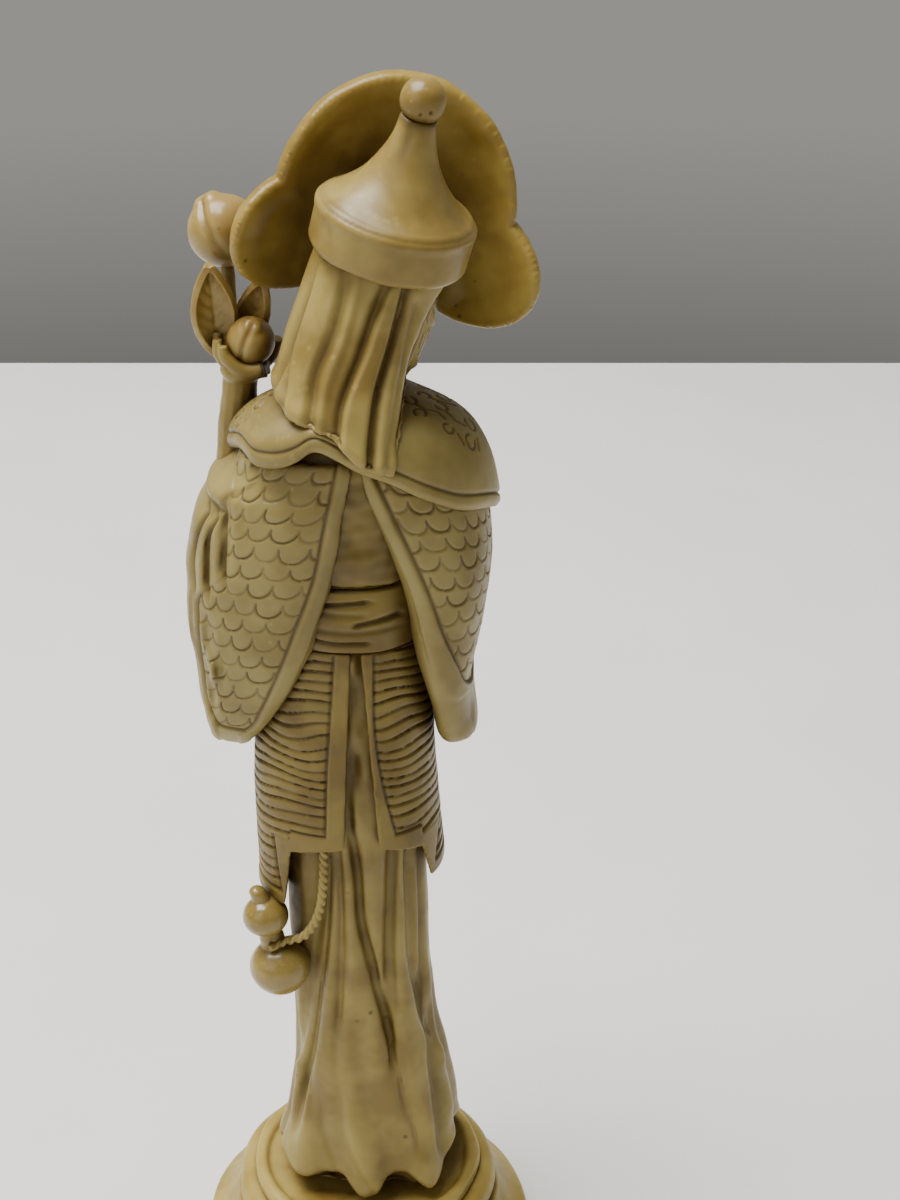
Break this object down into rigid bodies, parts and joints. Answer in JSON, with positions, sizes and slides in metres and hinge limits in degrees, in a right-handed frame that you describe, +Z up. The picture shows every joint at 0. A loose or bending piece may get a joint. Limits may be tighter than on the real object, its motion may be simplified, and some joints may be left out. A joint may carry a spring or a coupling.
{
  "type": "standing figurine",
  "caption": "Carved standing figure in layered robes and a trefoil hat, holding a peach spray, on a round stepped base.",
  "frame": {"origin": "centre of the base's underside", "axes": "+Z up through the figure; the figure faces -Y; its raised left hand is on the +X side"},
  "size_m": [0.056, 0.056, 0.2014],
  "materials": {
    "carving": "satin cream with brown in the recesses",
    "stained_carving": "satin cream stained ochre",
    "dowel_wood": "plain"
  },
  "bodies": {
    "root": {"base_dowel": "dowel_wood", "base_middle_tier": "carving", "base_plinth": "carving", "base_upper_tier": "carving", "finial_peg": "dowel_wood", "front_apron": "carving", "gourd": "carving", "gourd_cord": "carving", "gourd_peg": "dowel_wood", "gourd_stopper": "carving", "hat_band": "carving", "hat_brim": "stained_carving", "hat_crown": "stained_carving", "hat_dowel": "dowel_wood", "hat_finial": "stained_carving", "head": "carving", "held_peach": "stained_carving", "large_leaf": "carving", "left_hand": "carving", "left_panel": "carving", "left_ribbon": "carving", "left_shoulder_dowel": "dowel_wood", "left_sleeve": "carving", "left_wrist_peg": "dowel_wood", "neck_collar": "carving", "neck_dowel": "dowel_wood", "peach_stem": "carving", "right_hand": "carving", "right_panel": "carving", "right_ribbon": "carving", "right_shoulder_dowel": "dowel_wood", "right_sleeve": "carving", "right_wrist_peg": "dowel_wood", "robe_skirt": "carving", "sash_knot": "carving", "shoulder_cape": "carving", "small_leaf": "carving", "torso": "carving", "upper_peach": "stained_carving", "veil": "carving", "waist_dowel": "dowel_wood", "waist_sash": "carving"}
  },
  "joints": []
}
